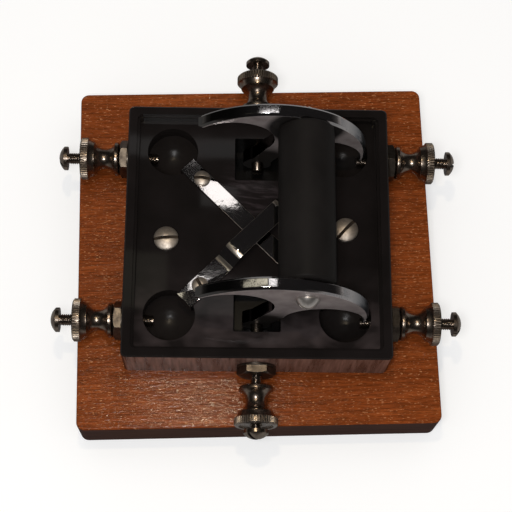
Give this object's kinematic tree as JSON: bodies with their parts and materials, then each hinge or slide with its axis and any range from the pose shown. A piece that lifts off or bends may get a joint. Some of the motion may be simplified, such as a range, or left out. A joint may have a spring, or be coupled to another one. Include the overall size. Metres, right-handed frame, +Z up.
{
  "type": "reversing commutator",
  "caption": "Tilting reversing switch with dished cups joined crosswise, a rocker of anchor-shaped arches under a round handle bar, and knurled terminals on a square wooden board.",
  "frame": {"origin": "centre of the moulded block at the underside of the board, on the surface it stands on", "axes": "+Z up, +X to the right toward the side that the rocker is tilted to, +Y to the back along the rocker's axis"},
  "size_m": [0.1464, 0.1464, 0.0708],
  "materials": {
    "board_wood": "reddish brown stain, open grain",
    "block_black": "moulded, satin black",
    "bar_black": "turned, dull black",
    "arch_chrome": "polished",
    "strap_chrome": "polished, handled",
    "terminal_nickel": "nickelled, dulled",
    "screw_nickel": "nickelled"
  },
  "bodies": {
    "base": {"base_board": "board_wood", "moulded_block": "block_black", "hold_down_screws": "screw_nickel", "lower_strap": "strap_chrome", "upper_strap": "strap_chrome", "strap_screws": "screw_nickel", "front_pivot_stud": "terminal_nickel", "back_pivot_stud": "terminal_nickel", "left_front_stud": "terminal_nickel", "left_back_stud": "terminal_nickel", "right_front_stud": "terminal_nickel", "right_back_stud": "terminal_nickel", "terminal_washers": "terminal_nickel", "hexagon_nuts": "terminal_nickel"},
    "rocker": {"front_arch": "arch_chrome", "back_arch": "arch_chrome", "handle_bar": "bar_black", "rocker_screws": "arch_chrome"},
    "front_nut": {"front_thumb_nut": "terminal_nickel"},
    "back_nut": {"back_thumb_nut": "terminal_nickel"},
    "left_front_nut": {"left_front_thumb_nut": "terminal_nickel"},
    "left_back_nut": {"left_back_thumb_nut": "terminal_nickel"},
    "right_front_nut": {"right_front_thumb_nut": "terminal_nickel"},
    "right_back_nut": {"right_back_thumb_nut": "terminal_nickel"}
  },
  "joints": [
    {"name": "rocker_tilt", "type": "hinge", "parent": "base", "child": "rocker", "pos_m": [0, 0, 0.0269], "axis": [0, 1, 0], "range_deg": [-52, 0]},
    {"name": "front_nut_travel", "type": "slide", "parent": "base", "child": "front_nut", "axis": [0, -1, 0], "range_m": [-0.0035, 0.001]},
    {"name": "back_nut_travel", "type": "slide", "parent": "base", "child": "back_nut", "axis": [0, 1, 0], "range_m": [0, 0.0045]},
    {"name": "left_front_nut_travel", "type": "slide", "parent": "base", "child": "left_front_nut", "axis": [-1, 0, 0], "range_m": [0, 0.0045]},
    {"name": "left_back_nut_travel", "type": "slide", "parent": "base", "child": "left_back_nut", "axis": [-1, 0, 0], "range_m": [0, 0.0045]},
    {"name": "right_front_nut_travel", "type": "slide", "parent": "base", "child": "right_front_nut", "axis": [1, 0, 0], "range_m": [0, 0.0045]},
    {"name": "right_back_nut_travel", "type": "slide", "parent": "base", "child": "right_back_nut", "axis": [1, 0, 0], "range_m": [0, 0.0045]}
  ]
}
